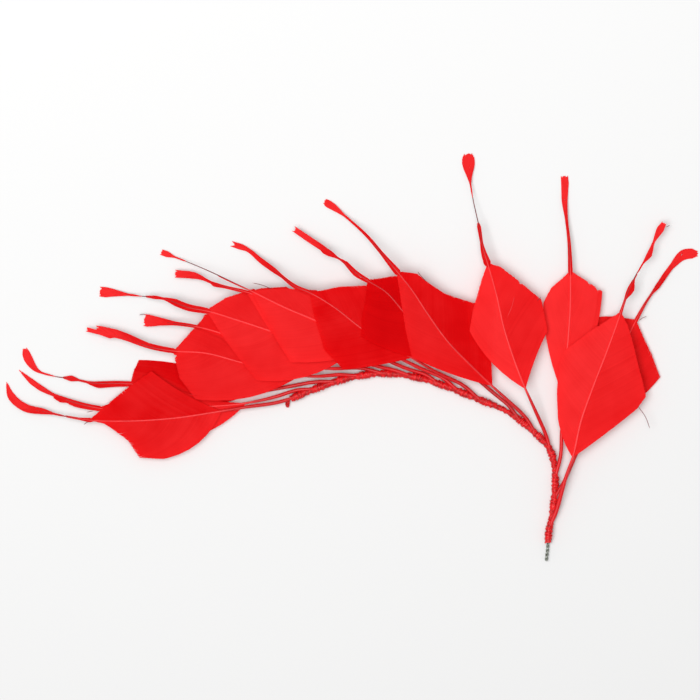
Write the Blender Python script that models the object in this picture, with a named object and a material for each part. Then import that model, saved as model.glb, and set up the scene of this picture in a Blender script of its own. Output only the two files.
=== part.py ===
# Red feather spray: fifteen trimmed goose quill feathers, bound with thread to a curved wire stem.
# The spray lies flat with +Z up. Its bare wire end points to -Y and its feather tips fan to -X and +Y.
# Plan points are millimetres from the middle of the spray, and heights are above the surface under it.

import math
from dataclasses import dataclass

import bmesh
import bpy
import numpy as np

MM = 0.001
GAP = 0.35

# Stem: plan line from the knotted end to the bare wire end
STEM_LINE = [(-37, -24.4), (-22, -18.4), (-4, -12.4), (17, -9.1), (38, -11.2), (56, -16.6), (74, -23.8),
             (93, -31.8), (108, -43), (119, -55), (122, -70), (121, -88), (118, -106), (117.5, -114),
             (116.6, -122.2)]
BARE_WIRE = 11.0
WIRE_RADIUS = 0.9
WIRE_TWIST_DEPTH = 0.22
WIRE_TWIST_PITCH = 5.0
WIRE_HEIGHT = 1.7
WIRE_START = 3.0
WIRE_TANG = 2.0
WIRE_SIDES = 8
WIRE_STEP = 8.0
WIRE_TWIST_STEP = 0.9

# Thread binding: oval in section, flat underneath, swollen where a quill is tied in
BINDING_HALF_WIDTH = 1.6
BINDING_HEIGHT = 3.6
TIE_SWELL_WIDTH = 0.6
TIE_SWELL_HEIGHT = 1.9
TIE_SWELL_LENGTH = 6.0
BINDING_STEP = 8.5

# Quills: the butt of each lies on the wire, inside the binding
BUTT_HEIGHT = 3.75
BUTT_LENGTH = 7.0
BUTT_RADIUS = 0.85
QUILL_RADIUS = 1.1
STRAIGHTENING = 5.0
RACHIS_RADIUS = 0.65
NECK_RADIUS = 0.4
TIP_RADIUS = 0.35
VANE_THICKNESS = 0.7

# Overlap: every vane follows one surface that falls to the right round the middle of the fan
FAN_CENTRE = (77, -73)
FAN_FALL = 0.30
FAN_START = 24
FAN_END = 95
VANE_ARCH = 0.06

BARE_STATIONS = 5
VANE_ROWS = 7
STEM_STATIONS = 8


@dataclass
class Feather:
    tie: float          # distance of the quill's butt from the knotted end, along the stem
    layer: float        # height of the vane's layer before the fall of the fan
    bare: list          # shaft from the stem to the vane
    vane: list          # shaft through the vane, from its base to its neck
    stem: list          # stripped shaft from the neck to the end of the tuft
    left: list          # cut edge of the left web, from its corner towards the neck
    right: list         # cut edge of the right web, from its corner towards the neck
    bow: tuple          # bulge of the lowest barb of the left and the right web
    tuft: float         # width of the tuft
    fringe: float = 1.3         # width of the stripped shaft with its leftover barbs
    quill: float = 1.0          # thickness of the quill against the common one
    tip_height: float = 0.0     # clearance under the tuft's end


FEATHERS = {
    "feather_01": Feather(
        tie=9, layer=6.5,
        bare=[(-45, -26.6), (-61, -28.8)],
        vane=[(-78, -31.6), (-106, -35.8), (-136, -37.6), (-157, -37)],
        stem=[(-172, -34.6), (-184, -32), (-196, -29.5), (-204, -23), (-207.2, -13.9)],
        left=[(-113, -60.4), (-127, -59.4), (-134, -49.2), (-148.6, -38.8)],
        right=[(-120, -7.6), (-135, -18), (-146, -27)],
        bow=(6, -2), tuft=4.6),
    "feather_02": Feather(
        tie=22.5, layer=4.2,
        bare=[(-29.8, -18.4), (-46, -23.2)],
        vane=[(-63, -26.8), (-91, -29.2), (-121, -30.4), (-152, -29.8)],
        stem=[(-169, -25.6), (-180, -21.4), (-190, -15.4), (-199.6, -7)],
        left=[(-109, -50), (-130, -40)], right=[(-112, -15.4), (-133, -22.6)],
        bow=(5, -3), tuft=2.8, fringe=2.6),
    "feather_03": Feather(
        tie=36, layer=2.0,
        bare=[(-17.5, -13.8), (-38, -17)],
        vane=[(-58, -20.8), (-82, -22.4), (-109, -20.4), (-132.4, -15.4)],
        stem=[(-142, -15), (-154, -15), (-167, -12.4), (-180, -10.4), (-189, -7), (-194, -0.2), (-196.2, 6)],
        left=[(-113, -33)], right=[(-127.6, -1), (-131, -8.2)],
        bow=(2, 5), tuft=5.4, fringe=2.2),
    "feather_04": Feather(
        tie=51, layer=9.9,
        bare=[(-6, -9.6), (-19, -10.8)],
        vane=[(-31, -10.4), (-49, -7), (-67, -2.2), (-88, 3.2), (-107, 4.4)],
        stem=[(-121, 6.8), (-136, 12.2), (-158.6, 18.4)],
        left=[(-93.4, -24.4), (-103, -11.8)], right=[(-88.6, 24.2), (-99.4, 12.2)],
        bow=(6, 3), tuft=4.4, fringe=4.2, tip_height=4.5),
    "feather_05": Feather(
        tie=64.5, layer=12.1,
        bare=[(9, -6.1), (-13, -6.2)],
        vane=[(-28, -4.2), (-49, 3.8), (-70, 12.2), (-92, 18.8)],
        stem=[(-109, 21.2), (-124.6, 22.8)],
        left=[(-54, -7.6), (-77.8, 12.4)], right=[(-66, 34), (-88, 26)],
        bow=(3, 3), tuft=6, fringe=2.6, tip_height=2),
    "feather_06": Feather(
        tie=82, layer=14.7,
        bare=[(30, -8.4), (14, -4.4)],
        vane=[(-3, 1.1), (-28, 9.2), (-47, 15.8), (-67, 22.4), (-87, 28.4)],
        stem=[(-97, 30.2), (-112, 35.6), (-127, 37.4), (-151.2, 40)],
        left=[(-56.8, -13), (-67, -0.4), (-78.4, 14.6)], right=[(-58.6, 41.6), (-75.4, 36.2)],
        bow=(5.5, 3), tuft=5.6, fringe=2.6),
    "feather_07": Feather(
        tie=98, layer=17.2,
        bare=[(48, -11.6), (34, -6.6), (20, -0.6)],
        vane=[(6, 6), (-16, 18.2), (-37, 29.6), (-52, 35.6), (-63.4, 39.8)],
        stem=[(-74, 42.4), (-84, 45.4), (-92, 49), (-106, 50.8)],
        left=[(-39, 1.6), (-52.6, 22.4)], right=[(-39, 42.8), (-53.8, 41.8)],
        bow=(2, 2), tuft=4.4, fringe=1.8, tip_height=3),
    "feather_08": Feather(
        tie=112, layer=19.5,
        bare=[(56.5, -12.7), (43, -6.8), (29, 0)],
        vane=[(16, 6.4), (-4, 15), (-22, 22.8), (-40, 30.4), (-60.4, 40.4)],
        stem=[(-70, 45), (-88, 53.4), (-100, 58.4), (-114.4, 63.8)],
        left=[(-37, -2.2), (-45.4, 11.6), (-54.4, 29.6)], right=[(-21.4, 41), (-40, 42)],
        bow=(3, 2), tuft=3.4),
    "feather_09": Feather(
        tie=126, layer=22.6,
        bare=[(69, -17.4), (52, -9)],
        vane=[(36, 0.4), (20, 8.6), (3.8, 19.4), (-10, 30.2), (-25, 39.2)],
        stem=[(-33, 42.6), (-43, 50), (-55, 59), (-62.2, 65), (-72.2, 68.8)],
        left=[(-5.3, -6.6), (-16.6, 5), (-22.6, 26)], right=[(13.4, 44), (-7, 42.8)],
        bow=(1, 2), tuft=3.6, fringe=2.4),
    "feather_10": Feather(
        tie=151, layer=25.8,
        bare=[(97, -31.4), (86, -21.6), (75.8, -13)],
        vane=[(62, -2), (47, 11), (32, 26.6), (20, 40), (9.2, 46.6)],
        stem=[(2, 51.4), (-5.2, 57.8), (-16, 65), (-35, 77.8)],
        left=[(5.6, 12.8), (6.2, 23), (8.2, 35)], right=[(43, 43), (27, 49.4)],
        bow=(4, 2), tuft=4, fringe=2.4, tip_height=4.5),
    "feather_11": Feather(
        tie=165, layer=28.8,
        bare=[(106, -37.4), (96, -27.4)],
        vane=[(84.2, -16.6), (71, -4), (57.8, 9.6), (45.8, 26), (35, 42.2), (27.2, 51.8)],
        stem=[(18.2, 62.6), (9.8, 72.8), (-3.4, 84.8), (-16, 95)],
        left=[(35.6, 0.8), (32, 17), (29, 36.2)], right=[(79.4, 31.4), (56, 38.6), (47, 44.6), (39.2, 50.6)],
        bow=(1.5, 1), tuft=3.4),
    "feather_12": Feather(
        tie=178, layer=32.8,
        bare=[(117.6, -49), (113, -38), (108.4, -28)],
        vane=[(104, -18.4), (96.8, 0.2), (91.4, 17), (86.6, 38), (81.2, 57.2)],
        stem=[(78.8, 65), (76.4, 78.2), (72.8, 95), (70.8, 108), (69.8, 123)],
        left=[(70.4, 16.4), (72.8, 30.2), (77.6, 46.4)],
        right=[(117.2, 16.4), (113.6, 35), (101, 45.8), (89, 54.8)],
        bow=(3.5, -1), tuft=7),
    "feather_13": Feather(
        tie=195, layer=27.6,
        bare=[(125, -61), (125.8, -43)],
        vane=[(127.4, -23.8), (129.2, 5), (131, 32), (131, 52.4)],
        stem=[(130.4, 68), (128.6, 86.6), (127.6, 109.4)],
        left=[(114.8, 33.2), (119.6, 42.2)], right=[(150.2, 40.4), (140.6, 46.4)],
        bow=(3, 5), tuft=4.6),
    "feather_14": Feather(
        tie=225, layer=32.0,
        bare=[(122.4, -92.6), (125.2, -82), (128.2, -71)],
        vane=[(132.2, -59.4), (137.4, -37), (144.2, -17.8), (152.6, 3.8), (161.2, 27.8)],
        stem=[(164.4, 37.4), (169.6, 48.8), (177, 61.4), (181.8, 71.6), (187, 81.4)],
        left=[(123.4, -35), (122.9, -20), (124, -3), (126.4, 4), (143.6, 17)],
        right=[(170.9, -30.1), (176.2, -23), (171.2, -2.2), (165.2, 20)],
        bow=(1.5, 0.5), tuft=5, fringe=2.6, quill=1.2, tip_height=7),
    "feather_15": Feather(
        tie=207.5, layer=24.6,
        bare=[(125.8, -77), (133, -61)],
        vane=[(141.8, -41.8), (153.8, -16), (163.4, 8), (170.6, 23)],
        stem=[(176.6, 33.8), (185, 45.8), (192.8, 56), (199, 62), (207.8, 63)],
        left=[(148.4, 24.8), (159.8, 25.4)], right=[(185, -11.2), (180.2, 2), (174.8, 13.4)],
        bow=(2, 4), tuft=4.6),
}


def smooth_line(points, pieces=8):
    """Points on a smooth curve through the given points, with a fixed number of pieces in each span."""
    points = np.array(points, float)
    span = np.linalg.norm(np.diff(points, axis=0), axis=1)
    reach = np.concatenate(([0.0], np.cumsum(span)))
    slope = np.gradient(points, reach, axis=0)
    line = [points[0]]
    for k, length in enumerate(span):
        for u in np.arange(1, pieces + 1) / pieces:
            start = (2 * u**3 - 3 * u**2 + 1) * points[k] + (u**3 - 2 * u**2 + u) * length * slope[k]
            end = (3 * u**2 - 2 * u**3) * points[k + 1] + (u**3 - u**2) * length * slope[k + 1]
            line.append(start + end)
    return np.array(line)


def travelled(line):
    """Distance along a line at each of its points."""
    return np.concatenate(([0.0], np.cumsum(np.linalg.norm(np.diff(line, axis=0), axis=1))))


def at_distance(line, distance):
    """Points at the given distances along a line."""
    reach = travelled(line)
    return np.stack([np.interp(distance, reach, line[:, axis]) for axis in range(2)], axis=-1)


def heading(line, distance):
    """Unit direction of a line at the given distances."""
    step = 0.5
    run = at_distance(line, distance + step) - at_distance(line, distance - step)
    return run / np.linalg.norm(run, axis=-1, keepdims=True)


def left_of(direction):
    return np.stack([-direction[..., 1], direction[..., 0]], axis=-1)


def ease(x):
    """Smooth rise from 0 to 1."""
    x = np.clip(x, 0, 1)
    return x * x * (3 - 2 * x)


def fan_height(layer, point):
    """Height of a vane's layer over a plan point."""
    turn = math.degrees(math.atan2(point[1] - FAN_CENTRE[1], FAN_CENTRE[0] - point[0]))
    turn = (turn + 90) % 360 - 90
    return layer - FAN_FALL * (min(max(turn, FAN_START), FAN_END) - FAN_START)


STEM = smooth_line(STEM_LINE)
STEM_LENGTH = travelled(STEM)[-1]
BINDING_LENGTH = STEM_LENGTH - BARE_WIRE


def material(name, colour, roughness, metallic=0.0):
    made = bpy.data.materials.new(name)
    made.use_nodes = True
    shader = made.node_tree.nodes["Principled BSDF"]
    shader.inputs["Base Color"].default_value = (*colour, 1)
    shader.inputs["Roughness"].default_value = roughness
    shader.inputs["Metallic"].default_value = metallic
    return made


def add_solid(name, points, faces, finish):
    """Closed solid from points in millimetres, with its faces turned outwards."""
    mesh = bpy.data.meshes.new(name)
    mesh.from_pydata([tuple(point * MM) for point in points], [], faces)
    body = bmesh.new()
    body.from_mesh(mesh)
    bmesh.ops.recalc_face_normals(body, faces=body.faces)
    body.to_mesh(mesh)
    body.free()
    mesh.shade_smooth()
    mesh.set_sharp_from_angle(angle=math.radians(40))
    mesh.materials.append(finish)
    solid = bpy.data.objects.new(name, mesh)
    bpy.context.collection.objects.link(solid)
    return solid


def add_tube(name, rings, finish):
    """Closed tube through rings that all have the same number of points."""
    sides = len(rings[0])
    faces = [tuple(range(sides)), tuple(range((len(rings) - 1) * sides, len(rings) * sides))]
    for ring in range(len(rings) - 1):
        for side in range(sides):
            here = ring * sides + side
            beside = ring * sides + (side + 1) % sides
            faces.append((here, beside, beside + sides, here + sides))
    return add_solid(name, np.concatenate(rings), faces, finish)


def hexagon(centre, side, half_width, half_height):
    """Shaft section: left, upper left, upper right, right, lower right and lower left points."""
    corners = []
    for turn in range(180, -180, -60):
        across = -half_width * math.cos(math.radians(turn))
        up = half_height * math.sin(math.radians(turn))
        corners.append(centre + np.array([side[0] * across, side[1] * across, up]))
    return corners


def straightened(line, base):
    """A shaft's line with the bend where it leaves the binding averaged out."""
    reach = travelled(line)
    window = np.minimum(STRAIGHTENING, np.minimum(reach, np.maximum(reach[base] - reach, 0)))
    return np.mean([at_distance(line, reach + share * window) for share in np.linspace(-1, 1, 9)], axis=0)


def shaft_line(feather):
    """Plan line of a whole shaft, with the distances of its vane's base, its neck and its tip."""
    butt = at_distance(STEM, feather.tie)
    leaving = at_distance(STEM, feather.tie - BUTT_LENGTH)
    points = [butt, (butt + leaving) / 2, leaving] + feather.bare + feather.vane + feather.stem
    pieces = 8
    base = (3 + len(feather.bare)) * pieces
    neck = base + (len(feather.vane) - 1) * pieces
    line = straightened(smooth_line(points, pieces), base)
    reach = travelled(line)
    return line, reach[base], reach[neck], reach[-1]


def bare_rings(feather, line, base, grown=0.0):
    """Sections of the bare quill, from its butt in the binding to the vane."""
    curve_out = BUTT_LENGTH + 5
    distance = np.concatenate(([0, BUTT_LENGTH], np.linspace(curve_out, base - 1.5, BARE_STATIONS)))
    centres = at_distance(line, distance)
    sides = left_of(heading(line, np.maximum(distance, 0.5)))
    rise = ease((distance - BUTT_LENGTH) / (base - BUTT_LENGTH))
    radius = np.interp(distance, [0, BUTT_LENGTH, curve_out, base * 0.6, base],
                       [BUTT_RADIUS, BUTT_RADIUS, QUILL_RADIUS * feather.quill,
                        QUILL_RADIUS * feather.quill, RACHIS_RADIUS])
    rings = []
    for k, centre in enumerate(centres):
        height = BUTT_HEIGHT + (fan_height(feather.layer, centre) - BUTT_HEIGHT) * rise[k]
        rings.append(hexagon(np.array([*centre, height]), sides[k], radius[k] + grown, radius[k] + grown))
    if grown:
        back = (rings[0][0] - rings[1][0]) / np.linalg.norm(rings[0][0] - rings[1][0])
        rings[0] = [point + back * grown for point in rings[0]]
    return rings


def web_row(feather, root, forward, edge, bow, u):
    """Points of one barb from its root to its cut end: upper side, the end itself, lower side."""
    reach = edge - root
    length = np.linalg.norm(reach)
    outward = left_of(reach / length)
    if np.dot(outward, forward) > 0:
        outward = -outward
    fractions = [min(1.1 / length, 0.25), 0.45, 0.78, 1.0]
    middle = []
    for w in fractions:
        point = root + reach * w + outward * bow * (1 - u) * 4 * w * (1 - w)
        offset = point - root
        across = abs(offset[0] * forward[1] - offset[1] * forward[0])
        middle.append(np.array([*point, fan_height(feather.layer, point) - VANE_ARCH * across]))
    lift = np.array([0, 0, VANE_THICKNESS / 2])
    upper = [point + lift for point in middle[:-1]]
    lower = [point - lift for point in middle[:-1]]
    return upper + [middle[-1]] + lower[::-1]


def vane_rings(feather, line, base, neck):
    """Sections through the vane, each a forward-pointing pair of barbs with the rachis between."""
    rings = []
    end = at_distance(line, neck)
    edges = {}
    for web in ("left", "right"):
        edges[web] = np.array([*getattr(feather, web), end])
    for row in range(VANE_ROWS + 1):
        u = 0.95 * row / VANE_ROWS
        distance = base + u * (neck - base)
        root = at_distance(line, distance)
        forward = heading(line, distance)
        side = left_of(forward)
        radius = RACHIS_RADIUS + (NECK_RADIUS - RACHIS_RADIUS) * u
        centre = np.array([*root, fan_height(feather.layer, root)])
        _, up_left, up_right, _, low_right, low_left = hexagon(centre, side, radius, radius)
        webs = {}
        for web, bow in zip(("left", "right"), feather.bow):
            edge = at_distance(edges[web], u * travelled(edges[web])[-1])
            webs[web] = web_row(feather, root, forward, edge, bow, u)
        rings.append([webs["left"][::-1], [up_left], [up_right], webs["right"], [low_right], [low_left]])
    return rings


def stem_rings(feather, line, neck, tip):
    """Sections of the stripped upper shaft and its tuft."""
    share = np.linspace(0.02, 1, STEM_STATIONS)
    distance = neck + share * (tip - neck)
    centres = at_distance(line, distance)
    sides = left_of(heading(line, np.minimum(distance, tip - 0.5)))
    half_width = np.interp(share, [0, 0.12, 0.5, 0.72, 0.9, 1],
                           [NECK_RADIUS, feather.fringe / 2, feather.fringe / 2, feather.tuft / 2,
                            feather.tuft / 2, feather.tuft / 5])
    half_height = np.interp(share, [0, 1], [NECK_RADIUS, TIP_RADIUS])
    neck_height = fan_height(feather.layer, at_distance(line, neck))
    tip_height = feather.tip_height + TIP_RADIUS * math.sin(math.radians(60))
    rings = []
    for k, centre in enumerate(centres):
        height = neck_height + (tip_height - neck_height) * ease(share[k])
        rings.append(hexagon(np.array([*centre, height]), sides[k], half_width[k], half_height[k]))
    return rings


def join_rings(here, there):
    """Faces between two rings of grouped point numbers. A group of one meets a folded web's end wall."""
    faces = []
    for group, (one, other) in enumerate(zip(here, there)):
        if len(one) == len(other):
            for k in range(len(one) - 1):
                faces.append((one[k], one[k + 1], other[k + 1], other[k]))
        else:
            single, web = (one, other) if len(one) == 1 else (other, one)
            faces.append((single[0], web[0], web[-1]))
            half = len(web) // 2
            for k in range(half - 1):
                faces.append((web[k], web[k + 1], web[-2 - k], web[-1 - k]))
            faces.append((web[half - 1], web[half], web[half + 1]))
        after = (group + 1) % len(here)
        faces.append((one[-1], here[after][0], there[after][0], other[-1]))
    return faces


def add_feather(name, feather, finish):
    """One feather: bare quill, vane with its raised rachis, stripped shaft and tuft, in one closed solid."""
    line, base, neck, tip = shaft_line(feather)
    rings = [[[point] for point in ring] for ring in bare_rings(feather, line, base)]
    rings += vane_rings(feather, line, base, neck)
    rings += [[[point] for point in ring] for ring in stem_rings(feather, line, neck, tip)]
    points = []
    numbered = []
    for ring in rings:
        groups = []
        for group in ring:
            groups.append(list(range(len(points), len(points) + len(group))))
            points += group
        numbered.append(groups)
    faces = [tuple(group[0] for group in numbered[0]), tuple(group[0] for group in numbered[-1])]
    for here, there in zip(numbered, numbered[1:]):
        faces += join_rings(here, there)
    return add_solid(name, np.array(points), faces, finish)


def cut(solid, tool):
    """Take a cutter's shape out of a solid."""
    tool.hide_render = True
    tool.display_type = "WIRE"
    boolean = solid.modifiers.new(tool.name, "BOOLEAN")
    boolean.operation = "DIFFERENCE"
    boolean.solver = "EXACT"
    boolean.object = tool


def binding_ring(distance):
    """Section of the thread binding: flat underneath, with swollen sides and top at each tie."""
    swell = 0.0
    for feather in FEATHERS.values():
        away = distance - (feather.tie - BUTT_LENGTH / 2)
        swell = max(swell, math.exp(-(away / TIE_SWELL_LENGTH)**4))
    half_width = BINDING_HALF_WIDTH + TIE_SWELL_WIDTH * swell
    height = BINDING_HEIGHT + TIE_SWELL_HEIGHT * swell
    centre = at_distance(STEM, distance)
    side = left_of(heading(STEM, min(max(distance, 0.5), STEM_LENGTH - 0.5)))
    outline = [(-0.6, 0), (0.6, 0), (1, 0.3), (1, 0.7), (0.6, 1), (-0.6, 1), (-1, 0.7), (-1, 0.3)]
    return [np.array([*(centre + side * half_width * across), height * up]) for across, up in outline]


def add_binding(finish):
    """Thread wound round the wire and the butts of the quills, with a pocket for each."""
    stations = np.linspace(0, BINDING_LENGTH, round(BINDING_LENGTH / BINDING_STEP) + 1)
    binding = add_tube("thread_binding", [binding_ring(distance) for distance in stations], finish)
    for name, feather in FEATHERS.items():
        line, base, _, _ = shaft_line(feather)
        cut(binding, add_tube("pocket_" + name, bare_rings(feather, line, base, GAP), finish))
    channel = [wire_ring(distance, WIRE_RADIUS + GAP) for distance in (WIRE_START - GAP, *hidden_wire())]
    channel.append(wire_ring(STEM_LENGTH, WIRE_RADIUS + GAP))
    cut(binding, add_tube("wire_channel", channel, finish))


def hidden_wire():
    """Distances of the wire's sections inside the binding."""
    end = BINDING_LENGTH - WIRE_TANG
    return np.linspace(WIRE_START, end, round((end - WIRE_START) / WIRE_STEP) + 1)


def wire_ring(distance, radius, depth=0.0):
    """Section of the wire. A depth pinches it between its two strands, which turn along its length."""
    centre = np.array([*at_distance(STEM, distance), WIRE_HEIGHT])
    side = left_of(heading(STEM, min(distance, STEM_LENGTH - 0.5)))
    twist = 2 * math.pi * distance / WIRE_TWIST_PITCH if depth else 0.0
    ring = []
    for turn in np.arange(WIRE_SIDES) * 2 * math.pi / WIRE_SIDES:
        reach = radius - depth * (1 - math.cos(2 * turn))
        across = reach * math.cos(turn + twist)
        ring.append(centre + np.array([side[0] * across, side[1] * across, reach * math.sin(turn + twist)]))
    return ring


def add_wire(finish):
    """Stem wire: plain inside the binding, two twisted strands where it is bare."""
    hidden = hidden_wire()
    bare = np.arange(hidden[-1] + WIRE_TWIST_STEP, STEM_LENGTH, WIRE_TWIST_STEP)
    rings = [wire_ring(distance, WIRE_RADIUS) for distance in hidden]
    rings += [wire_ring(distance, WIRE_RADIUS, WIRE_TWIST_DEPTH) for distance in bare]
    add_tube("stem_wire", rings, finish)


def build_spray():
    for old in list(bpy.data.objects):
        bpy.data.objects.remove(old)
    feather_red = material("dyed_feather", (0.80, 0.012, 0.018), 0.55)
    thread_red = material("binding_thread", (0.55, 0.012, 0.014), 0.6)
    grey_wire = material("stem_wire", (0.42, 0.44, 0.40), 0.4, 0.9)
    for name, feather in FEATHERS.items():
        add_feather(name, feather, feather_red)
    add_binding(thread_red)
    add_wire(grey_wire)


build_spray()
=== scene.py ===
# Red feather spray: fifteen trimmed goose quill feathers, bound with thread to a curved wire stem.
# The spray lies flat with +Z up, and the camera looks straight down on it. Sizes are in millimetres.

import math
from dataclasses import dataclass, field

import bpy
import numpy as np
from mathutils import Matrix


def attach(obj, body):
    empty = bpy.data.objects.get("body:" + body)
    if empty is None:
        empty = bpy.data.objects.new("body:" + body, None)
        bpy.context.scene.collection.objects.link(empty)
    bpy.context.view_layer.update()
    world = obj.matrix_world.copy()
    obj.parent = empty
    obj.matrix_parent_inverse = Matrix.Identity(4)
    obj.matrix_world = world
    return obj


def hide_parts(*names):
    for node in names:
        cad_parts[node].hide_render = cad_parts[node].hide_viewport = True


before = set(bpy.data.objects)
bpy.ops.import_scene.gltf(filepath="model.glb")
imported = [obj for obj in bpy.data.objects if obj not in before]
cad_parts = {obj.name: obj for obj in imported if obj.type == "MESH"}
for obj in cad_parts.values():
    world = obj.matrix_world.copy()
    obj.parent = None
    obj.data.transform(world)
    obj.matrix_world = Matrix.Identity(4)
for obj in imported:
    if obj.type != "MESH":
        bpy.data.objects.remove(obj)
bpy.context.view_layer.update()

MM = 0.001

# Camera: a long lens four metres above the spray, which is a little right of and below the picture's
# middle. The field is the width of the surface that the square picture shows.
CAMERA_HEIGHT = 4000
FIELD = 420
PICTURE_MIDDLE = (-1, 5)

camera = bpy.data.objects.new("camera", bpy.data.cameras.new("camera"))
camera.location = (PICTURE_MIDDLE[0] * MM, PICTURE_MIDDLE[1] * MM, CAMERA_HEIGHT * MM)
camera.data.lens = camera.data.sensor_width * CAMERA_HEIGHT / FIELD
bpy.context.collection.objects.link(camera)
bpy.context.scene.camera = camera
bpy.context.scene.view_settings.view_transform = "Standard"


# Studio: a white surface under an even white sky. Painted light makes the surface paler towards the top
# of the picture. One broad lamp high at the left reaches between the quills, so the shadows are faint and
# fall to the right.
FLOOR_SIZE = 6000
FLOOR_WHITE_PAINTED_FALLOFF = (0.715, 0.805)
SKY_WHITE = (1.0, 0.997, 0.99)
SKY_STRENGTH = 0.42
LAMP_PLACE = (-400, -80, 2400)
LAMP_SIZE = 1900
LAMP_POWER = 59


def add_node(tree, kind, inputs=None, **settings):
    """New shader node with its settings, and with each input set to a value or linked to a socket."""
    made = tree.nodes.new("ShaderNode" + kind)
    for name, value in settings.items():
        setattr(made, name, value)
    for name, value in (inputs or {}).items():
        if isinstance(value, bpy.types.NodeSocket):
            tree.links.new(value, made.inputs[name])
        else:
            made.inputs[name].default_value = value
    return made


def new_material(name):
    """Empty material, its node tree and its output node."""
    made = bpy.data.materials.new(name)
    made.use_nodes = True
    made.node_tree.nodes.clear()
    return made, made.node_tree, add_node(made.node_tree, "OutputMaterial")


def build_studio():
    half = FLOOR_SIZE * MM / 2
    mesh = bpy.data.meshes.new("floor")
    mesh.from_pydata([(-half, -half, 0), (half, -half, 0), (half, half, 0), (-half, half, 0)], [],
                     [(0, 1, 2, 3)])
    paper, tree, output = new_material("white_surface")
    place = add_node(tree, "SeparateXYZ", {0: add_node(tree, "TexCoord").outputs["Object"]})
    # Painted light: the floor's white rises from the bottom to the top of the picture.
    white = add_node(tree, "MapRange", {"Value": place.outputs["Y"], "From Min": -FIELD * MM / 2,
                                        "From Max": FIELD * MM / 2, "To Min": FLOOR_WHITE_PAINTED_FALLOFF[0],
                                        "To Max": FLOOR_WHITE_PAINTED_FALLOFF[1]})
    shader = add_node(tree, "BsdfPrincipled", {"Base Color": white.outputs[0], "Roughness": 0.9,
                                               "Specular IOR Level": 0.1})
    tree.links.new(shader.outputs["BSDF"], output.inputs["Surface"])
    mesh.materials.append(paper)
    floor = bpy.data.objects.new("floor", mesh)
    bpy.context.collection.objects.link(floor)

    sky = bpy.data.worlds.new("sky")
    sky.use_nodes = True
    background = sky.node_tree.nodes["Background"]
    background.inputs["Color"].default_value = (*SKY_WHITE, 1)
    background.inputs["Strength"].default_value = SKY_STRENGTH
    bpy.context.scene.world = sky

    lamp = bpy.data.objects.new("lamp", bpy.data.lights.new("lamp", "AREA"))
    lamp.data.size = LAMP_SIZE * MM
    lamp.data.energy = LAMP_POWER
    lamp.location = [value * MM for value in LAMP_PLACE]
    lamp.rotation_euler = (-lamp.location).to_track_quat("-Z", "Y").to_euler()
    bpy.context.collection.objects.link(lamp)


build_studio()


# Stem wire: two thin grey steel wires twisted together. They run inside the thread binding from the
# knotted end at the left, and their last stretch is bare at the bottom.
STEM_LINE = [(-37, -24.4), (-22, -18.4), (-4, -12.4), (17, -9.1), (38, -11.2), (56, -16.6), (74, -23.8),
             (93, -31.8), (108, -43), (119, -55), (122, -70), (121, -88), (118, -106), (117.5, -114),
             (116.6, -122.2)]
BARE_WIRE = 11
WIRE_START = 3
WIRE_HEIGHT = 1.7
STRAND_RADIUS = 0.52
STRAND_OFFSET = 0.48
STRAND_PITCH = 5
STRAND_STEP = 0.5
STRAND_SIDES = 8
STRAND_END_RADIUS = 0.02
WIRE_GREY = (0.33, 0.35, 0.31)
WIRE_STAIN = (0.10, 0.10, 0.075)
SPAN_PIECES = 8


def smooth_line(points, pieces=SPAN_PIECES):
    """Points on a smooth curve through the given points, with a fixed number of pieces in each span."""
    points = np.array(points, float)
    span = np.linalg.norm(np.diff(points, axis=0), axis=1)
    reach = np.concatenate(([0.0], np.cumsum(span)))
    slope = np.gradient(points, reach, axis=0)
    line = [points[0]]
    for k, length in enumerate(span):
        for u in np.arange(1, pieces + 1) / pieces:
            start = (2 * u**3 - 3 * u**2 + 1) * points[k] + (u**3 - 2 * u**2 + u) * length * slope[k]
            end = (3 * u**2 - 2 * u**3) * points[k + 1] + (u**3 - u**2) * length * slope[k + 1]
            line.append(start + end)
    return np.array(line)


def travelled(line):
    """Distance along a line at each of its points."""
    return np.concatenate(([0.0], np.cumsum(np.linalg.norm(np.diff(line, axis=0), axis=1))))


def at_distance(line, distance):
    """Points at the given distances along a plan line."""
    reach = travelled(line)
    return np.stack([np.interp(distance, reach, line[:, axis]) for axis in range(2)], axis=-1)


def unit(vectors):
    return vectors / np.maximum(np.linalg.norm(vectors, axis=-1, keepdims=True), 1e-9)


def heading(line, distance):
    """Unit direction of a plan line at the given distances."""
    step = 0.5
    length = travelled(line)[-1]
    distance = np.clip(distance, step, length - step)
    return unit(at_distance(line, distance + step) - at_distance(line, distance - step))


def left_of(direction):
    return np.stack([-direction[..., 1], direction[..., 0]], axis=-1)


@dataclass
class Strands:
    """Alike strands of a piece: an array of strand, row along it, point across it and x, y, z."""
    points: np.ndarray
    closed: bool            # whether the points across meet again, as round a tube
    tone: np.ndarray        # brightness of the dye or surface, with painted light and shade, at each strand and row
    reach: np.ndarray       # share of the strand's length at each strand and row
    finish: int = 0         # number of the material in the piece


def strand_faces(count, rows, columns, closed):
    """Four-sided faces of a number of strands."""
    across = np.arange(columns if closed else columns - 1)
    here = np.arange(rows - 1)[:, None] * columns + across
    beside = np.arange(rows - 1)[:, None] * columns + (across + 1) % columns
    faces = np.stack([here, beside, beside + columns, here + columns], axis=-1).reshape(-1, 4)
    return (np.arange(count)[:, None, None] * rows * columns + faces).reshape(-1, 4)


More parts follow.
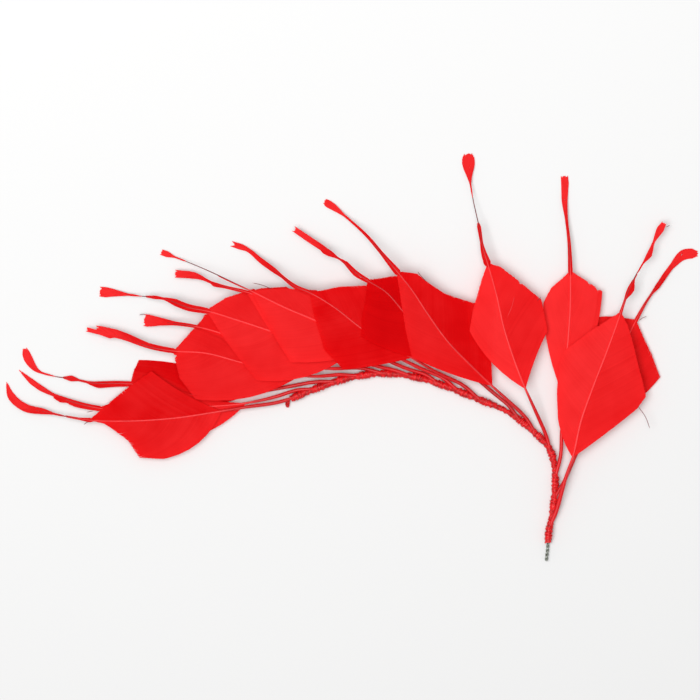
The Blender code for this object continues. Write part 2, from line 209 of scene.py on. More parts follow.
def tube(centres, radius, sides, outward=(0, 0, 1), tone=1.0, finish=0):
    """Round strand along a line of x, y, z points, drawn in to a point at both ends."""
    centres = np.asarray(centres, float)
    along = unit(np.gradient(centres, axis=0))
    across = unit(np.cross(along, np.broadcast_to(outward, centres.shape)))
    up = np.cross(across, along)
    radius = np.broadcast_to(radius, len(centres)).copy()
    radius[[0, -1]] = STRAND_END_RADIUS
    turn = np.arange(sides) * 2 * math.pi / sides
    ring = across[:, None] * np.cos(turn)[:, None] + up[:, None] * np.sin(turn)[:, None]
    points = centres[:, None] + ring * radius[:, None, None]
    share = np.linspace(0, 1, len(centres))
    return Strands(points[None], True, np.full((1, len(centres)), tone), share[None], finish)


def with_height(plan, height):
    """Plan points with their heights."""
    return np.concatenate([plan, np.broadcast_to(height, plan.shape[:-1])[..., None]], axis=-1)


def add_piece(name, strands, materials, node):
    """One joined mesh in metres that stands for a node of the frame."""
    points = []
    faces = []
    values = {"tone": [], "reach": []}
    finish = []
    start = 0
    for group in strands:
        count, rows, columns, _ = group.points.shape
        faces.append(start + strand_faces(count, rows, columns, group.closed))
        points.append(group.points.reshape(-1, 3) * MM)
        for key, kept in values.items():
            kept.append(np.repeat(getattr(group, key).reshape(-1), columns))
        finish.append(np.full(len(faces[-1]), group.finish))
        start += count * rows * columns
    mesh = bpy.data.meshes.new(name)
    mesh.from_pydata(np.concatenate(points), [], np.concatenate(faces))
    for key, kept in values.items():
        mesh.attributes.new(key, "FLOAT", "POINT").data.foreach_set("value", np.concatenate(kept))
    for made in materials:
        mesh.materials.append(made)
    mesh.polygons.foreach_set("material_index", np.concatenate(finish))
    mesh.shade_smooth()
    piece = bpy.data.objects.new(name, mesh)
    bpy.context.collection.objects.link(piece)
    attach(piece, "root")
    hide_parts(node)


def wire_material():
    """Drawn steel: fine scratches along it, and darker stains in patches."""
    made, tree, output = new_material("twisted_wire")
    place = add_node(tree, "TexCoord").outputs["Object"]
    stain = add_node(tree, "TexNoise", {"Vector": place, "Scale": 420, "Detail": 3})
    stained = add_node(tree, "MapRange", {"Value": stain.outputs[0], "From Min": 0.5, "From Max": 0.68})
    colour = add_node(tree, "Mix", {0: stained.outputs[0], 6: (*WIRE_GREY, 1), 7: (*WIRE_STAIN, 1)},
                      data_type="RGBA")
    scratch = add_node(tree, "TexNoise", {"Vector": place, "Scale": 3500, "Detail": 2})
    bump = add_node(tree, "Bump", {"Height": scratch.outputs[0], "Distance": 0.00004, "Strength": 0.6})
    rough = add_node(tree, "MapRange", {"Value": stain.outputs[0], "To Min": 0.25, "To Max": 0.6})
    shader = add_node(tree, "BsdfPrincipled", {"Base Color": colour.outputs[2], "Metallic": 0.85,
                                               "Roughness": rough.outputs[0], "Normal": bump.outputs[0]})
    tree.links.new(shader.outputs["BSDF"], output.inputs["Surface"])
    return made


STEM = smooth_line(STEM_LINE)
STEM_LENGTH = travelled(STEM)[-1]
BINDING_LENGTH = STEM_LENGTH - BARE_WIRE


def build_wire():
    distance = np.arange(WIRE_START, STEM_LENGTH - STRAND_RADIUS, STRAND_STEP)
    plan = at_distance(STEM, distance)
    side = left_of(heading(STEM, distance))
    strands = []
    for phase in (0, math.pi):
        turn = 2 * math.pi * distance / STRAND_PITCH + phase
        centres = with_height(plan + side * (STRAND_OFFSET * np.cos(turn))[:, None],
                              WIRE_HEIGHT + STRAND_OFFSET * np.sin(turn))
        strands.append(tube(centres, STRAND_RADIUS, STRAND_SIDES))
    add_piece("twisted_wire", strands, [wire_material()], "stem_wire")


build_wire()


# Feathers: fifteen goose wing quills, dyed red. Each web is a row of barbs that hook together, cut with
# scissors to a diamond. The shaft above it is stripped, but for stubs of barbs and a small tuft.
@dataclass
class Feather:
    tie: float          # distance of the quill's butt from the knotted end, along the stem
    layer: float        # height of the vane's layer before the fall of the fan
    bare: list          # shaft from the stem to the vane
    vane: list          # shaft through the vane, from its base to its neck
    stem: list          # stripped shaft from the neck to the end of the tuft
    left: list          # cut edge of the left web, from its corner towards the neck
    right: list         # cut edge of the right web, from its corner towards the neck
    bow: tuple          # bulge of the lowest barb of the left and the right web
    stubs: list         # share of the stripped shaft, and reach of its barbs to the left and the right
    quill: float = 1.0          # thickness of the quill against the common one
    tip_height: float = 0.0     # clearance under the tuft's end
    fork: float = 0.0           # depth of the split in the tuft's end
    short: tuple = (0, 0)       # how much sooner the tuft ends on its left and on its right side
    dye_and_shade: tuple = (1.0, 1.0)     # painted light and shade on the dye of the left and the right web
    nicks: list = field(default_factory=list)   # web, share of its cut edge and depth of each nick
    wisps: list = field(default_factory=list)   # lines of dark stray barbs that stand off the feather
    scratches: list = field(default_factory=list)   # lines of pale broken barbs on the vane


FEATHERS = {
    "feather_01": Feather(
        tie=9, layer=6.5,
        bare=[(-45, -26.6), (-61, -28.8)],
        vane=[(-78, -31.6), (-106, -35.8), (-136, -37.6), (-157, -37)],
        stem=[(-172, -34.6), (-184, -32), (-196, -29.5), (-204, -23), (-207.2, -13.9)],
        left=[(-113, -60.4), (-127, -59.4), (-134, -49.2), (-148.6, -38.8)],
        right=[(-120, -7.6), (-135, -18), (-146, -27)],
        bow=(6, -2), dye_and_shade=(0.94, 0.87),
        stubs=[(0, 1.2, 1.3), (0.12, 0.5, 0.5), (0.36, 0.3, 0.3), (0.5, 1.7, 1.8), (0.68, 2.3, 2.3),
               (0.85, 2.2, 2.2), (1, 0.1, 0.1)],
        nicks=[("right", 0.7, 1.0)],
        wisps=[[(-156.8, -38), (-158.6, -38.4), (-160.4, -39.7)], [(-154.8, -31.6), (-158.8, -32.3)]]),
    "feather_02": Feather(
        tie=22.5, layer=4.2,
        bare=[(-29.8, -18.4), (-46, -23.2)],
        vane=[(-63, -26.8), (-91, -29.2), (-121, -30.4), (-152, -29.8)],
        stem=[(-169, -25.6), (-180, -21.4), (-190, -15.4), (-199.6, -7)],
        left=[(-109, -50), (-130, -40)], right=[(-112, -15.4), (-133, -22.6)],
        bow=(5, -3), dye_and_shade=(0.98, 0.9),
        stubs=[(0, 1.6, 1.3), (0.26, 2.3, 1.2), (0.33, 1.9, 1.2), (0.34, 1.1, 1.2), (0.43, 2.5, 1.1),
               (0.51, 1.6, 0.9), (0.52, 0.5, 0.7), (0.7, 1.6, 1.5), (0.82, 1.5, 1.4), (0.92, 0.8, 0.7),
               (1, 0.1, 0.1)]),
    "feather_03": Feather(
        tie=36, layer=2.0,
        bare=[(-17.5, -13.8), (-38, -17)],
        vane=[(-58, -20.8), (-82, -22.4), (-109, -20.4), (-132.4, -15.4)],
        stem=[(-142, -15), (-154, -15), (-167, -12.4), (-180, -10.4), (-189, -7), (-194, -0.2), (-196.2, 6)],
        left=[(-113, -33)], right=[(-127.6, -1), (-131, -8.2)],
        bow=(2, 5), dye_and_shade=(0.9, 0.84),
        stubs=[(0, 1.4, 1.4), (0.27, 2.6, 1.2), (0.37, 0.5, 0.5), (0.43, 0.3, 0.3), (0.5, 1.5, 1.8),
               (0.57, 0.3, 0.3), (0.75, 0.3, 0.3), (0.83, 1.6, 1.6), (0.91, 2.6, 2.5), (0.96, 2.3, 2.2),
               (1, 1.1, 1.1)]),
    "feather_04": Feather(
        tie=51, layer=9.9,
        bare=[(-6, -9.6), (-19, -10.8)],
        vane=[(-31, -10.4), (-49, -7), (-67, -2.2), (-88, 3.2), (-107, 4.4)],
        stem=[(-121, 6.8), (-136, 12.2), (-158.6, 18.4)],
        left=[(-93.4, -24.4), (-103, -11.8)], right=[(-88.6, 24.2), (-99.4, 12.2)],
        bow=(6, 3), dye_and_shade=(0.96, 0.93), tip_height=4.5, short=(0, 5),
        stubs=[(0, 1.2, 1.6), (0.3, 0.9, 2.2), (0.68, 1.3, 3.4), (0.72, 2.7, 3.3), (0.86, 2.1, 2.9),
               (1, 2.2, 1.6)],
        nicks=[("left", 0.9, 1.5)]),
    "feather_05": Feather(
        tie=64.5, layer=12.1,
        bare=[(9, -6.1), (-13, -6.2)],
        vane=[(-28, -4.2), (-49, 3.8), (-70, 12.2), (-92, 18.8)],
        stem=[(-109, 21.2), (-124.6, 22.8)],
        left=[(-54, -7.6), (-77.8, 12.4)], right=[(-66, 34), (-88, 26)],
        bow=(3, 3), dye_and_shade=(0.93, 0.92), tip_height=2,
        stubs=[(0, 0.8, 0.8), (0.45, 0.9, 1.1), (0.7, 2.0, 2.4), (0.93, 3.5, 3.6), (1, 3.3, 3.6)],
        wisps=[[(-121, 25.6), (-124.6, 26.4), (-127.4, 26.0)]]),
    "feather_06": Feather(
        tie=82, layer=14.7,
        bare=[(30, -8.4), (14, -4.4)],
        vane=[(-3, 1.1), (-28, 9.2), (-47, 15.8), (-67, 22.4), (-87, 28.4)],
        stem=[(-97, 30.2), (-112, 35.6), (-127, 37.4), (-151.2, 40)],
        left=[(-56.8, -13), (-67, -0.4), (-78.4, 14.6)], right=[(-58.6, 41.6), (-75.4, 36.2)],
        bow=(5.5, 3), dye_and_shade=(1.0, 0.97),
        stubs=[(0, 1.6, 1.7), (0.16, 1.9, 2.0), (0.3, 1.9, 2.1), (0.42, 0.5, 0.5), (0.5, 0.9, 0.9),
               (0.57, 0.4, 0.4), (0.74, 0.4, 0.4), (0.88, 1.9, 2.3), (0.95, 2.9, 3.0), (1, 2.8, 2.9)]),
    "feather_07": Feather(
        tie=98, layer=17.2,
        bare=[(48, -11.6), (34, -6.6), (20, -0.6)],
        vane=[(6, 6), (-16, 18.2), (-37, 29.6), (-52, 35.6), (-63.4, 39.8)],
        stem=[(-74, 42.4), (-84, 45.4), (-92, 49), (-106, 50.8)],
        left=[(-39, 1.6), (-52.6, 22.4)], right=[(-39, 42.8), (-53.8, 41.8)],
        bow=(2, 2), dye_and_shade=(1.02, 0.9), tip_height=3,
        stubs=[(0, 0.9, 0.9), (0.3, 0.8, 0.6), (0.45, 1.7, 0.7), (0.49, 0.6, 0.6), (0.57, 0.6, 0.6),
               (0.78, 2.0, 2.0), (1, 2.2, 2.2)],
        wisps=[[(-47, 41), (-53, 43.6), (-59.4, 45.2)]]),
    "feather_08": Feather(
        tie=112, layer=19.5,
        bare=[(56.5, -12.7), (43, -6.8), (29, 0)],
        vane=[(16, 6.4), (-4, 15), (-22, 22.8), (-40, 30.4), (-60.4, 40.4)],
        stem=[(-70, 45), (-88, 53.4), (-100, 58.4), (-114.4, 63.8)],
        left=[(-37, -2.2), (-45.4, 11.6), (-54.4, 29.6)], right=[(-21.4, 41), (-40, 42)],
        bow=(3, 2), dye_and_shade=(1.03, 0.96),
        stubs=[(0, 0.5, 0.5), (0.04, 0.3, 0.3), (0.2, 0.45, 0.3), (0.36, 0.42, 0.3), (0.4, 0.2, 0.2),
               (0.85, 0.2, 0.2), (0.94, 1.6, 1.7), (1, 1.6, 1.6)]),
    "feather_09": Feather(
        tie=126, layer=22.6,
        bare=[(69, -17.4), (52, -9)],
        vane=[(36, 0.4), (20, 8.6), (3.8, 19.4), (-10, 30.2), (-25, 39.2)],
        stem=[(-33, 42.6), (-43, 50), (-55, 59), (-62.2, 65), (-72.2, 68.8)],
        left=[(-5.3, -6.6), (-16.6, 5), (-22.6, 26)], right=[(13.4, 44), (-7, 42.8)],
        bow=(1, 2), dye_and_shade=(0.84, 0.86), fork=2,
        stubs=[(0, 1.1, 1.1), (0.2, 1.2, 1.0), (0.36, 0.7, 0.7), (0.47, 1.2, 1.5), (0.6, 1.4, 1.5),
               (0.82, 0.9, 1.0), (0.9, 1.7, 1.6), (1, 1.5, 1.5)]),
    "feather_10": Feather(
        tie=151, layer=25.8,
        bare=[(97, -31.4), (86, -21.6), (75.8, -13)],
        vane=[(62, -2), (47, 11), (32, 26.6), (20, 40), (9.2, 46.6)],
        stem=[(2, 51.4), (-5.2, 57.8), (-16, 65), (-35, 77.8)],
        left=[(5.6, 12.8), (6.2, 23), (8.2, 35)], right=[(43, 43), (27, 49.4)],
        bow=(4, 2), dye_and_shade=(0.76, 0.72), tip_height=4.5, fork=1.5,
        stubs=[(0, 1.2, 1.2), (0.15, 1.9, 1.3), (0.3, 0.6, 1.6), (0.36, 0.2, 0.9), (0.4, 0.2, 0.2),
               (0.52, 2.0, 1.4), (0.58, 2.4, 1.4), (0.62, 1.6, 1.6), (0.8, 1.7, 1.6), (1, 1.5, 1.5)]),
    "feather_11": Feather(
        tie=165, layer=28.8,
        bare=[(106, -37.4), (96, -27.4)],
        vane=[(84.2, -16.6), (71, -4), (57.8, 9.6), (45.8, 26), (35, 42.2), (27.2, 51.8)],
        stem=[(18.2, 62.6), (9.8, 72.8), (-3.4, 84.8), (-16, 95)],
        left=[(35.6, 0.8), (32, 17), (29, 36.2)], right=[(79.4, 31.4), (56, 38.6), (47, 44.6), (39.2, 50.6)],
        bow=(1.5, 1), dye_and_shade=(0.95, 0.84),
        stubs=[(0, 1.9, 1.9), (0.08, 1.7, 1.5), (0.25, 0.9, 0.8), (0.45, 0.9, 0.6), (0.76, 0.4, 0.4),
               (0.9, 2.0, 1.7), (0.96, 2.8, 1.6), (1, 2.0, 0.7)],
        wisps=[[(44.6, 46), (42, 48.6), (39.4, 51.8)]]),
    "feather_12": Feather(
        tie=178, layer=32.8,
        bare=[(117.6, -49), (113, -38), (108.4, -28)],
        vane=[(104, -18.4), (96.8, 0.2), (91.4, 17), (86.6, 38), (81.2, 57.2)],
        stem=[(78.8, 65), (76.4, 78.2), (72.8, 95), (70.8, 108), (69.8, 123)],
        left=[(70.4, 16.4), (72.8, 30.2), (77.6, 46.4)],
        right=[(117.2, 16.4), (113.6, 35), (101, 45.8), (89, 54.8)],
        bow=(3.5, -1), dye_and_shade=(1.07, 0.95),
        stubs=[(0, 2.2, 2.0), (0.08, 2.0, 1.3), (0.2, 0.9, 0.5), (0.34, 1.1, 0.9), (0.38, 0.2, 0.2),
               (0.73, 0.2, 0.2), (0.8, 1.5, 1.4), (0.87, 3.1, 3.0), (0.92, 3.8, 3.7), (0.96, 3.6, 3.5),
               (1, 2.2, 2.2)],
        nicks=[("right", 0.6, 1.0)], wisps=[[(111, 34.6), (113.4, 36.6)]],
        scratches=[[(97.4, 36.8), (95.8, 31), (93.2, 24.8)]]),
    "feather_13": Feather(
        tie=195, layer=27.6,
        bare=[(125, -61), (125.8, -43)],
        vane=[(127.4, -23.8), (129.2, 5), (131, 32), (131, 52.4)],
        stem=[(130.4, 68), (128.6, 86.6), (127.6, 109.4)],
        left=[(114.8, 33.2), (119.6, 42.2)], right=[(150.2, 40.4), (140.6, 46.4)],
        bow=(3, 5), dye_and_shade=(1.06, 1.04),
        stubs=[(0, 1.3, 1.3), (0.25, 0.9, 0.9), (0.45, 0.7, 0.6), (0.58, 0.8, 0.6), (0.75, 2.1, 1.1),
               (0.93, 2.0, 2.3), (1, 2.0, 2.1)],
        nicks=[("right", 0.14, 1.2), ("right", 0.4, 0.6)]),
    "feather_14": Feather(
        tie=225, layer=32.0,
        bare=[(122.4, -92.6), (125.2, -82), (128.2, -71)],
        vane=[(132.2, -59.4), (137.4, -37), (144.2, -17.8), (152.6, 3.8), (161.2, 27.8)],
        stem=[(164.4, 37.4), (169.6, 48.8), (177, 61.4), (181.8, 71.6), (187, 81.4)],
        left=[(123.4, -35), (122.9, -20), (124, -3), (126.4, 4), (143.6, 17)],
        right=[(170.9, -30.1), (176.2, -23), (171.2, -2.2), (165.2, 20)],
        bow=(1.5, 0.5), dye_and_shade=(1.04, 0.98), quill=1.2, tip_height=7,
        stubs=[(0, 0.8, 0.8), (0.14, 0.4, 0.4), (0.2, 0.9, 2.2), (0.26, 1.0, 3.0), (0.36, 0.3, 0.5),
               (0.54, 0.2, 0.2), (0.65, 0.7, 2.4), (0.78, 0.4, 0.4), (0.93, 2.1, 2.1), (1, 1.0, 1.6)],
        wisps=[[(171.2, -28.4), (176, -35.2), (178.6, -42.2)], [(188, 78.4), (190.6, 79.8)]]),
    "feather_15": Feather(
        tie=207.5, layer=24.6,
        bare=[(125.8, -77), (133, -61)],
        vane=[(141.8, -41.8), (153.8, -16), (163.4, 8), (170.6, 23)],
        stem=[(176.6, 33.8), (185, 45.8), (192.8, 56), (199, 62), (207.8, 63)],
        left=[(148.4, 24.8), (159.8, 25.4)], right=[(185, -11.2), (180.2, 2), (174.8, 13.4)],
        bow=(2, 4), dye_and_shade=(0.93, 0.93),
        stubs=[(0, 1.0, 1.0), (0.15, 0.7, 0.7), (0.32, 0.4, 0.4), (0.42, 0.9, 1.6), (0.56, 1.3, 1.5),
               (0.68, 1.3, 1.3), (0.86, 3.0, 3.0), (0.94, 2.9, 2.9), (1, 1.2, 1.5)],
        wisps=[[(172.4, 22.8), (174.4, 24.2), (176.8, 25.2)]]),
}

BUTT_HEIGHT = 3.75
BUTT_LENGTH = 7.0
BUTT_RADIUS = 0.85
BUTT_CURVE = 5
QUILL_RADIUS = 1.1
QUILL_SHARE = 0.6
STRAIGHTENING = 5.0
STRAIGHTENING_SAMPLES = 9
RACHIS_RADIUS = 0.65
NECK_RADIUS = 0.4
STRIPPED_RADIUS = 0.35
STRIPPED_SHARE = 0.15
TIP_RADIUS = 0.35
TIP_HALF_HEIGHT = TIP_RADIUS * math.sin(math.radians(60))      # of a six-sided tip on a flat side
FAN_CENTRE = (77, -73)
FAN_FALL = 0.30
FAN_START = 24
FAN_END = 95
VANE_ARCH = 0.06

BARB_SPACING = 0.45
BARB_STATIONS = (0, 0.08, 0.2, 0.35, 0.5, 0.65, 0.8, 0.93, 1)
BARB_OVERLAP = 1.35
BARB_NARROWEST = 0.12
BARB_WIDEST = 0.45
BARB_END = 0.7
BARB_RIDGE = 0.04
BARB_TILT = 0.03
CLUMP_LENGTH = 11
CLUMP_EDGES = (0.03, 0.97)
CLUMP_PULL = 0.012
TONE_SCATTER = 0.015
CUT_WANDER = 0.25
CUT_FRAY = 0.13
CUT_DEEPEST = 0.6
NICK_WIDTH = 0.9
STUB_SPACING = 0.2
STUB_STATIONS = 7
STUB_LENGTH = 8
STUB_LENGTH_RANGE = (0.6, 1.2)
STUB_START = 3
STUB_WIDTH = 0.62
STUB_TAPER = ((0, 0.7), (0.8, 1), (1, 0.5))            # share of the barb, and its width there
STUB_LIFT = 0.2
STUB_SCATTER = 0.08
STUB_LEAST = 0.4
STUB_CLOSEST = 0.15
STUB_CURL = 0.7
STUB_FRAY = 0.25
STUB_SPREAD_RANGE = (0.9, 1.08)
STUB_TONES = ((0, 0.86), (0.5, 0.9), (0.9, 1.06))      # share of the stripped shaft, and its tone
STUB_TONE_SCATTER = 0.03
TUFT_CROWDING = 0.8
TUFT_FRAY = 0.3
TUFT_ROUNDING = 1.6
FORK_WIDTH = 0.8
WISP_RADIUS = 0.2
WISP_SIDES = 5
WISP_PIECES = 4
WISP_LIFT = 0.25
DARK_REACH = 1.0
PALE_REACH = 0.5
SHAFT_FINISH = 1
SHAFT_SIDES = 10
SHAFT_ROWS = (28, 36, 30)
SHAFT_STOP = 4
SHAFT_TONE = 0.08

# Reds of the dye. Each deep colour is the end that a low tone reaches, and the tone holds painted shade as
# well as uneven dye.
VANE_RED = (0.98, 0.0088, 0.0108)
VANE_DEEP_SHADED = (0.62, 0.002, 0.0035)
VANE_GLOW = (0.95, 0.005, 0.007)
QUILL_RED = (0.66, 0.005, 0.009)
QUILL_DEEP_SHADED = (0.42, 0.003, 0.006)
RACHIS_RED = (1.0, 0.034, 0.038)
STRIPPED_RED = (0.12, 0.03, 0.035)


def ease(x):
    """Smooth rise from 0 to 1."""
    x = np.clip(x, 0, 1)
    return x * x * (3 - 2 * x)


def fan_height(layer, plan):
    """Heights of a vane's layer over plan points."""
    turn = np.degrees(np.arctan2(plan[..., 1] - FAN_CENTRE[1], FAN_CENTRE[0] - plan[..., 0]))
    turn = (turn + 90) % 360 - 90
    return layer - FAN_FALL * (np.clip(turn, FAN_START, FAN_END) - FAN_START)


@dataclass
class Shaft:
    """Plan line of a whole shaft, with the distances of its vane's base, its neck and its tip."""
    feather: Feather
    line: np.ndarray
    base: float
    neck: float
    tip: float

    def height(self, distance):
        """Height of the shaft's middle at the given distances."""
        plan = at_distance(self.line, distance)
        fan = fan_height(self.feather.layer, plan)
        rise = ease((distance - BUTT_LENGTH) / (self.base - BUTT_LENGTH))
        bare = BUTT_HEIGHT + (fan - BUTT_HEIGHT) * rise
        neck_height = fan_height(self.feather.layer, at_distance(self.line, self.neck))
        tip_height = self.feather.tip_height + TIP_HALF_HEIGHT
        fall = ease((distance - self.neck) / (self.tip - self.neck))
        stripped = neck_height + (tip_height - neck_height) * fall
        return np.where(distance < self.base, bare, np.where(distance < self.neck, fan, stripped))

    def radius(self, distance):
        curve_out = BUTT_LENGTH + BUTT_CURVE
        quill = QUILL_RADIUS * self.feather.quill
        stripped = self.neck + STRIPPED_SHARE * (self.tip - self.neck)
        return np.interp(distance, [0, BUTT_LENGTH, curve_out, self.base * QUILL_SHARE, self.base,
                                    self.neck, stripped, self.tip],
                         [BUTT_RADIUS, BUTT_RADIUS, quill, quill, RACHIS_RADIUS, NECK_RADIUS,
                          STRIPPED_RADIUS, STRIPPED_RADIUS / 2])


def straightened(line, base):
    """A shaft's line with the bend where it leaves the binding averaged out."""
    reach = travelled(line)
    window = np.minimum(STRAIGHTENING, np.minimum(reach, np.maximum(reach[base] - reach, 0)))
    shares = np.linspace(-1, 1, STRAIGHTENING_SAMPLES)
    return np.mean([at_distance(line, reach + share * window) for share in shares], axis=0)


def shaft_of(feather):
    butt = at_distance(STEM, feather.tie)
    leaving = at_distance(STEM, feather.tie - BUTT_LENGTH)
    bare = [butt, (butt + leaving) / 2, leaving, *feather.bare]
    base = len(bare) * SPAN_PIECES
    neck = base + (len(feather.vane) - 1) * SPAN_PIECES
    line = straightened(smooth_line(bare + feather.vane + feather.stem), base)
    reach = travelled(line)
    return Shaft(feather, line, reach[base], reach[neck], reach[-1])


def barb_strands(plan, height, half_width, tone, finish=0):
    """Barbs with a raised middle line. One side of each lies lower, under the edge of the next."""
    across = left_of(unit(np.gradient(plan, axis=1)))
    offset = across * half_width[..., None]
    middle = with_height(plan, height + BARB_RIDGE)
    first = with_height(plan - offset, height)
    last = with_height(plan + offset, height - BARB_TILT)
    points = np.stack([first, middle, last], axis=2)
    reach = np.broadcast_to(np.linspace(0, 1, plan.shape[1]), plan.shape[:2])
    return Strands(points, False, np.broadcast_to(tone[:, None], plan.shape[:2]), reach, finish)


def wander(rng, share, waves=5):
    """Slow random curve between about -1 and 1."""
    total = np.zeros_like(share)
    for wave in range(1, waves + 1):
        total += rng.normal() * np.sin(math.pi * wave * share + rng.uniform(0, 2 * math.pi)) / wave
    return total / 1.5


def web_barbs(shaft, web, bow, dye_and_shade, rng):
    """The hooked barbs of one web, from the vane's base to its neck."""
    feather = shaft.feather
    edge = np.array([*getattr(feather, web), at_distance(shaft.line, shaft.neck)])
    edge_length = travelled(edge)[-1]
    count = round(max(shaft.neck - shaft.base, edge_length) / BARB_SPACING)
    u = (np.arange(count) + 0.5) / count
    distance = shaft.base + u * (shaft.neck - shaft.base)
    root = at_distance(shaft.line, distance)
    forward = heading(shaft.line, distance)
    end = at_distance(edge, u * edge_length)
    reach = end - root
    outward = left_of(unit(reach))
    outward = outward * -np.sign((outward * forward).sum(axis=1))[:, None]
    w = np.array(BARB_STATIONS)[None, :, None]
    bulge = outward[:, None] * bow * (1 - u)[:, None, None] * 4 * w * (1 - w)
    plan = root[:, None] + reach[:, None] * w + bulge
    across = left_of(unit(np.gradient(plan, axis=1)))
    spacing = np.abs((np.gradient(plan, axis=0) * across).sum(axis=-1))
    taper = np.where(w[0, :, 0] == 1, BARB_END, 1)
    half_width = np.clip(spacing * BARB_OVERLAP / 2, BARB_NARROWEST, BARB_WIDEST) * taper

    clumps = max(round(edge_length / CLUMP_LENGTH), 1)
    clump = np.searchsorted(np.sort(rng.uniform(*CLUMP_EDGES, clumps)), u)
    clump_tone = rng.normal(0, TONE_SCATTER, clumps + 1)
    pull = rng.uniform(0, CLUMP_PULL, clumps + 1)
    for k in range(clumps + 1):
        inside = clump == k
        if inside.any():
            plan[inside] += (end[inside].mean(axis=0) - end[inside])[:, None] * pull[k] * w**3
    cut = CUT_WANDER * wander(rng, u) + rng.normal(0, CUT_FRAY, count)
    for nicked, share, depth in feather.nicks:
        if nicked == web:
            cut -= depth * np.exp(-((u - share) * edge_length / NICK_WIDTH)**2)
    cut = np.maximum(cut, -CUT_DEEPEST * np.linalg.norm(reach, axis=1))
    plan += unit(reach)[:, None] * cut[:, None, None] * w**4

    offset = plan - root[:, None]
    aside = np.abs(offset[..., 0] * forward[:, None, 1] - offset[..., 1] * forward[:, None, 0])
    height = fan_height(feather.layer, plan) - VANE_ARCH * aside
    # Each web's tone is its dye with painted light and shade, and its clumps and barbs also differ at
    # random.
    tone = dye_and_shade + clump_tone[clump] + rng.normal(0, TONE_SCATTER, count)
    return barb_strands(plan, height, half_width, tone)


def stub_barbs(shaft, rng):
    """Leftover barbs of the stripped shaft and of its tuft. They lie close along the shaft."""
    profile = np.array(shaft.feather.stubs)
    length = shaft.tip - shaft.neck
    share = np.linspace(0, 1, STUB_STATIONS)
    groups = []
    for side, column in ((1, 1), (-1, 2)):
        ends = np.arange(shaft.neck, shaft.tip, STUB_SPACING)
        lateral = np.interp((ends - shaft.neck) / length, profile[:, 0], profile[:, column])
        ends_at_tip = np.arange(0, profile[-1, column], STUB_SPACING * TUFT_CROWDING)
        cut = shaft.feather.fork * np.exp(-(ends_at_tip / FORK_WIDTH)**2) + shaft.feather.short[column - 1]
        cut += TUFT_ROUNDING * (ends_at_tip / profile[-1, column])**2
        fray = np.abs(rng.normal(0, TUFT_FRAY, len(ends_at_tip)))
        ends = np.concatenate([ends, shaft.tip - cut - fray])
        lateral = np.concatenate([lateral, ends_at_tip])
        kept = (lateral > STUB_LEAST) & (ends < shaft.tip - shaft.feather.short[column - 1])
        kept[-len(ends_at_tip):] = True
        ends = ends[kept] + rng.normal(0, STUB_FRAY, kept.sum())
        lateral = lateral[kept] * rng.uniform(*STUB_SPREAD_RANGE, kept.sum())
        root = np.maximum(ends - STUB_LENGTH * rng.uniform(*STUB_LENGTH_RANGE, len(ends)),
                          shaft.neck - STUB_START)
        distance = np.minimum(root[:, None] + (ends - root)[:, None] * share, shaft.tip)
        envelope = np.interp((distance - shaft.neck) / length, profile[:, 0], profile[:, column])
        aside = np.minimum(lateral[:, None] * share**STUB_CURL, np.maximum(envelope, STUB_CLOSEST))
        normal = left_of(heading(shaft.line, distance))
        plan = at_distance(shaft.line, distance) + normal * (side * aside)[..., None]
        scatter = rng.uniform(-STUB_SCATTER, STUB_SCATTER, len(ends))
        height = shaft.height(distance) + STUB_LIFT + scatter[:, None]
        taper = np.interp(share, *zip(*STUB_TAPER))
        half_width = np.broadcast_to(STUB_WIDTH / 2 * taper, distance.shape)
        tone = np.interp((ends - shaft.neck) / length, *zip(*STUB_TONES))
        tone = tone + rng.normal(0, STUB_TONE_SCATTER, len(ends))
        groups.append(barb_strands(plan, height, half_width, tone))
    return groups


def wisp_tubes(shaft):
    """Stray barbs, as dark as the stripped stem, and scratches, as pale as the rachis."""
    made = []
    for wisps, reach in ((shaft.feather.wisps, DARK_REACH), (shaft.feather.scratches, PALE_REACH)):
        for wisp in wisps:
            plan = smooth_line(wisp, WISP_PIECES)
            away = np.linalg.norm(shaft.line[:, None] - plan, axis=2)
            nearest = travelled(shaft.line)[np.argmin(away, axis=0)]
            height = shaft.height(nearest) - VANE_ARCH * np.min(away, axis=0) + WISP_LIFT
            strand = tube(with_height(plan, height), WISP_RADIUS, WISP_SIDES, finish=SHAFT_FINISH)
            strand.reach[:] = reach
            made.append(strand)
    return made


def shaft_tube(shaft):
    """Round horn shaft: quill, rachis and stripped stem in one."""
    distance = np.concatenate([np.linspace(0, shaft.base, SHAFT_ROWS[0])[:-1],
                               np.linspace(shaft.base, shaft.neck, SHAFT_ROWS[1]),
                               np.linspace(shaft.neck, shaft.tip - SHAFT_STOP, SHAFT_ROWS[2])[1:]])
    centres = with_height(at_distance(shaft.line, distance), shaft.height(distance))
    made = tube(centres, shaft.radius(distance), SHAFT_SIDES, finish=SHAFT_FINISH)
    # Painted shade: the shaft is as dark as its darker web, a little brighter.
    made.tone[:] = min(shaft.feather.dye_and_shade) + SHAFT_TONE
    return made


